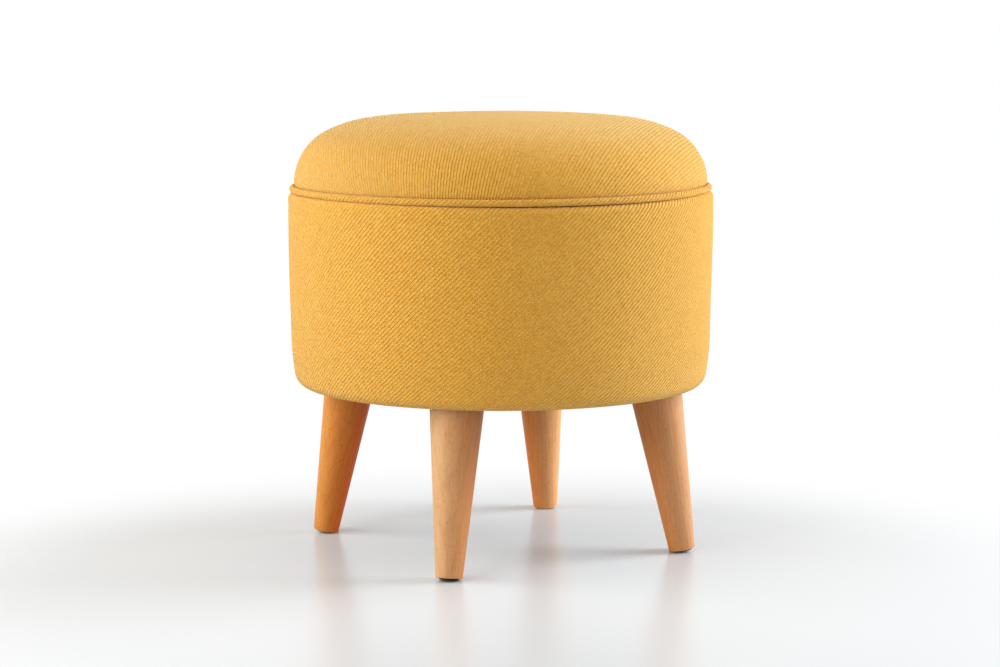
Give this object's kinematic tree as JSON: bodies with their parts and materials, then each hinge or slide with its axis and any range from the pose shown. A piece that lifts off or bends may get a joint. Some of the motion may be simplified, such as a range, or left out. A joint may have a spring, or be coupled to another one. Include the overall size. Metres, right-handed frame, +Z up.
{
  "type": "round storage pouf",
  "caption": "Round upholstered pouf in coarse twill: a drum on splayed turned legs with a padded, piped lid that lifts off a lined storage well.",
  "frame": {"origin": "on the floor, under the middle of the drum", "axes": "+Z up along the drum's axis; -Y is the front; the legs stand on the diagonals between X and Y"},
  "size_m": [0.3999, 0.4, 0.4088],
  "materials": {
    "twill": "coarse mustard-yellow upholstery twill",
    "wadding": "white polyester wadding",
    "foam": "open-cell upholstery foam",
    "plywood": "bare birch plywood",
    "pine": "bare planed pine",
    "hardboard": "bare brown hardboard",
    "cotton_cord": "twisted cotton filler cord",
    "lining_cloth": "dark non-woven lining cloth",
    "dust_cloth": "black non-woven dust cloth",
    "beech": "turned beech in satin clear lacquer",
    "zinc_steel": "zinc-plated steel",
    "staple_steel": "bright staple wire",
    "glide_plastic": "dark brown moulded plastic"
  },
  "bodies": {
    "drum": {"base_board": "plywood", "cover_staples": "staple_steel", "drum_cover": "twill", "drum_foam": "foam", "drum_wall": "hardboard", "dust_cover": "dust_cloth", "dust_cover_staples": "staple_steel", "floor_lining": "lining_cloth", "foot_glide_back_left": "glide_plastic", "foot_glide_back_right": "glide_plastic", "foot_glide_front_left": "glide_plastic", "foot_glide_front_right": "glide_plastic", "frame_post_1": "pine", "frame_post_2": "pine", "frame_post_3": "pine", "frame_post_4": "pine", "frame_post_5": "pine", "frame_post_6": "pine", "frame_screws": "zinc_steel", "hanger_bolts": "zinc_steel", "leg_back_left": "beech", "leg_back_right": "beech", "leg_front_left": "beech", "leg_front_right": "beech", "leg_plate_back_left": "zinc_steel", "leg_plate_back_right": "zinc_steel", "leg_plate_front_left": "zinc_steel", "leg_plate_front_right": "zinc_steel", "plate_screws": "zinc_steel", "ring_staples": "staple_steel", "top_ring": "plywood", "wall_lining": "lining_cloth", "wall_staples": "staple_steel"},
    "lid": {"lid_board": "plywood", "lid_cover": "twill", "lid_cover_staples": "staple_steel", "lid_foam": "foam", "lid_lining": "lining_cloth", "lid_lining_staples": "staple_steel", "lid_piping_cord": "cotton_cord", "lid_piping_sleeve": "twill", "lid_plug_board": "plywood", "lid_plug_cover": "lining_cloth", "lid_plug_screws": "zinc_steel", "lid_wadding": "wadding"}
  },
  "joints": [
    {"name": "lid_lift", "type": "slide", "parent": "drum", "child": "lid", "axis": [0, 0, 1], "range_m": [0, 0.3]}
  ]
}
